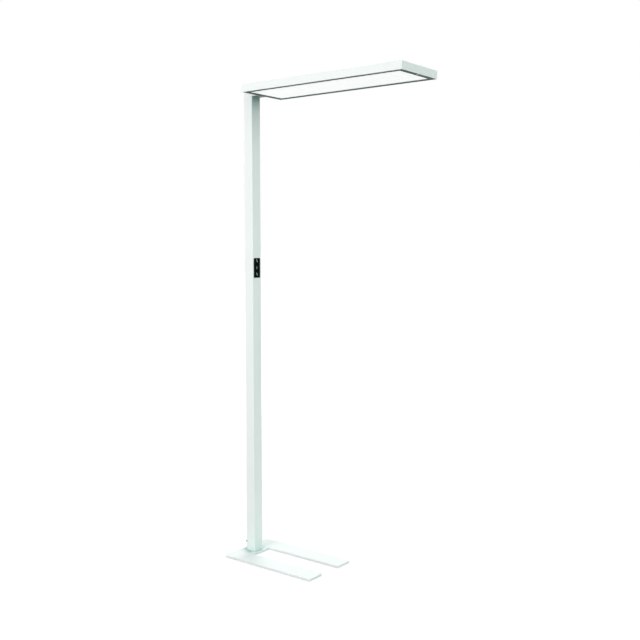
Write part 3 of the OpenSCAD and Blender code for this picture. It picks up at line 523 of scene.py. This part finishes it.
def make_keys():
    for node, strokes in KEY_MARKS.items():
        low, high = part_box(node)
        centre_z = (low.z + high.z) / 2
        half_w = (high.y - low.y) / 2 - LIP_W
        half_h = (high.z - low.z) / 2 - LIP_W
        bm = bmesh.new()
        rings = key_rings(high.x, half_w, half_h, low.x)
        join_rings(bm, [[(x, y, centre_z + z) for x, y, z in ring] for ring in rings])
        cap = mesh_piece(node + "_cap", bm, MATERIALS["key_black"], node)
        sharpen(cap)
        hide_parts(node)
        bm = bmesh.new()
        for start, end in strokes:
            printed_mark(bm, capsule(start, end, STROKE_W), centre_z, high.x, half_w)
        sharpen(mesh_piece(node + "_mark", bm, PRINT_GREY, node))


# ---- Sensor lens: a shallow dome with stepped rings ----

LENS_RINGS = 5
RING_STEP = 0.12 * MM
RING_SLOPE = 0.04 * MM
FLANGE_W = 0.6 * MM
FLANGE_T = 1.0 * MM
LENS_CREASE_ANGLE = 25
LATHE_STEPS = 64


def lathe(bm, profile, centre):
    """Turns (radius, z) points about a vertical axis. The first and last radius are 0."""
    turns = [2 * math.pi * i / LATHE_STEPS for i in range(LATHE_STEPS)]
    unit_circle = [(math.cos(turn), math.sin(turn)) for turn in turns]
    loops = []
    for radius, z in profile[1:-1]:
        ring = [(centre.x + radius * x, centre.y + radius * y, z) for x, y in unit_circle]
        loops.append([bm.verts.new(point) for point in ring])
    for near, far in zip(loops, loops[1:]):
        for i in range(LATHE_STEPS):
            j = (i + 1) % LATHE_STEPS
            bm.faces.new((near[i], near[j], far[j], far[i]))
    for z, loop in ((profile[0][1], loops[0]), (profile[-1][1], loops[-1])):
        tip = bm.verts.new((centre.x, centre.y, z))
        for i in range(LATHE_STEPS):
            bm.faces.new((tip, loop[i], loop[(i + 1) % LATHE_STEPS]))


def make_lens():
    low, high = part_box("sensor_lens")
    centre = (low + high) / 2
    flange_r = (high.x - low.x) / 2
    lens_r = flange_r - FLANGE_W
    rim_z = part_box("rim")[0].z
    flange_z = high.z - FLANGE_T
    drop = rim_z - low.z
    profile = [(0, low.z)]
    for i in range(1, LENS_RINGS + 1):
        share = i / LENS_RINGS
        z = low.z + drop * share * share
        profile.append((lens_r * share, z))
        if i < LENS_RINGS:
            profile.append((lens_r * share + RING_SLOPE, z - RING_STEP * share))
    profile += [(lens_r, flange_z), (flange_r, flange_z), (flange_r, high.z), (0, high.z)]
    bm = bmesh.new()
    lathe(bm, profile, centre)
    lens = mesh_piece("lens", bm, LENS, "lamp")
    sharpen(lens, LENS_CREASE_ANGLE)
    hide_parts("sensor_lens")


# ---- Studio ----

FLOOR_SIZE = 60
FLOOR_ALBEDO = 0.14
FLOOR_GLOW = 0.88
FLOOR_NEAR = 1.2
FLOOR_FAR = 4
FLOOR_ROUGHNESS = 0.9
# How strongly the sky lights things: evenly at its horizon, less overhead, and more from +X
SKY_EVEN = 0.5
SKY_ABOVE = -0.95 * SKY_EVEN
SKY_FRONT = 1.6
SKY_SIDES = [
    ((0, 0, 1), SKY_ABOVE, (1, 1, 1)),
    ((1, 0, 0), SKY_FRONT, (0.86, 1.0, 0.96)),
]
# Softboxes: their place, what they are aimed at, their side's length, power in watts and tint
SOFTBOXES = {
    "side_light": ((0.1, -4.2, 2.0), (0.1, 0, 1.0), 2.6, 126, (1.0, 0.982, 0.99)),
    "back_light": ((-1.65, 3.1, 4.0), (0, 0, 0.4), 3.0, 130, (1, 1, 1)),
}


def seen_directly(nodes, links):
    """1 for rays from the camera, a mirror or glass, and 0 for those that light things."""
    rays = nodes.new("ShaderNodeLightPath")
    total = rays.outputs["Is Camera Ray"]
    for kind in ("Is Glossy Ray", "Is Transmission Ray"):
        either = nodes.new("ShaderNodeMath")
        either.operation = "MAXIMUM"
        links.new(total, either.inputs[0])
        links.new(rays.outputs[kind], either.inputs[1])
        total = either.outputs[0]
    return total


def make_world():
    """Seen directly the sky is plain white. What it sheds on things comes more from one side."""
    world = bpy.data.worlds.new("studio")
    world.use_nodes = True
    bpy.context.scene.world = world
    nodes, links = world.node_tree.nodes, world.node_tree.links
    direction = nodes.new("ShaderNodeTexCoord").outputs["Generated"]
    total = None
    for axis, strength, tint in SKY_SIDES:
        toward = nodes.new("ShaderNodeVectorMath")  # 1 straight at that side, 0 across it
        toward.operation = "DOT_PRODUCT"
        toward.inputs[1].default_value = axis
        links.new(direction, toward.inputs[0])
        share = nodes.new("ShaderNodeMapRange")
        share.inputs["To Max"].default_value = strength
        links.new(toward.outputs["Value"], share.inputs["Value"])
        colored = nodes.new("ShaderNodeVectorMath")
        colored.operation = "MULTIPLY_ADD"
        colored.inputs[0].default_value = tint
        colored.inputs[2].default_value = (SKY_EVEN, SKY_EVEN, SKY_EVEN)
        links.new(share.outputs["Result"], colored.inputs[1])
        if total:
            links.new(total, colored.inputs[2])
        total = colored.outputs["Vector"]
    shown = nodes.new("ShaderNodeMix")
    shown.data_type = "RGBA"
    near, far = [socket for socket in shown.inputs if socket.type == "RGBA"]
    far.default_value = (1, 1, 1, 1)
    links.new(seen_directly(nodes, links), shown.inputs["Factor"])
    links.new(total, near)
    result = [socket for socket in shown.outputs if socket.type == "RGBA"][0]
    links.new(result, nodes["Background"].inputs["Color"])
    nodes["Background"].inputs["Strength"].default_value = 1.0


def make_floor():
    """A floor that looks white but for soft shadows near the lamp, and sheds little light."""
    mesh = bpy.data.meshes.new("floor")
    half = FLOOR_SIZE / 2
    corners = [(-half, -half, 0), (half, -half, 0), (half, half, 0), (-half, half, 0)]
    mesh.from_pydata(corners, [], [(0, 1, 2, 3)])
    floor = bpy.data.objects.new("floor", mesh)
    bpy.context.scene.collection.objects.link(floor)
    look = bpy.data.materials.new("floor")
    look.use_nodes = True
    nodes, links = look.node_tree.nodes, look.node_tree.links
    surface = nodes["Principled BSDF"]
    surface.inputs["Base Color"].default_value = (FLOOR_ALBEDO, FLOOR_ALBEDO, FLOOR_ALBEDO, 1)
    surface.inputs["Roughness"].default_value = FLOOR_ROUGHNESS
    surface.inputs["Specular IOR Level"].default_value = 0.0
    surface.inputs["Emission Color"].default_value = (1, 1, 1, 1)
    away = nodes.new("ShaderNodeVectorMath")
    away.operation = "LENGTH"
    links.new(nodes.new("ShaderNodeTexCoord").outputs["Object"], away.inputs[0])
    glow = nodes.new("ShaderNodeMapRange")
    glow.inputs["From Min"].default_value = FLOOR_NEAR
    glow.inputs["From Max"].default_value = FLOOR_FAR
    glow.inputs["To Min"].default_value = FLOOR_GLOW
    links.new(away.outputs["Value"], glow.inputs["Value"])
    lift = nodes.new("ShaderNodeMath")
    lift.operation = "MULTIPLY"
    links.new(glow.outputs["Result"], lift.inputs[1])
    links.new(seen_directly(nodes, links), lift.inputs[0])
    links.new(lift.outputs[0], surface.inputs["Emission Strength"])
    mesh.materials.append(look)


def softbox(name, place, target, size, power, tint):
    data = bpy.data.lights.new(name, "AREA")
    data.shape = "SQUARE"
    data.size = size
    data.energy = power
    data.color = tint
    light = bpy.data.objects.new(name, data)
    light.location = place
    light.rotation_euler = (Vector(target) - Vector(place)).to_track_quat("-Z", "Y").to_euler()
    bpy.context.scene.collection.objects.link(light)


def make_studio():
    bpy.context.scene.view_settings.view_transform = "Standard"
    make_world()
    make_floor()
    for name, settings in SOFTBOXES.items():
        softbox(name, *settings)


make_camera()
dress_nodes()
make_keys()
make_lens()
make_studio()
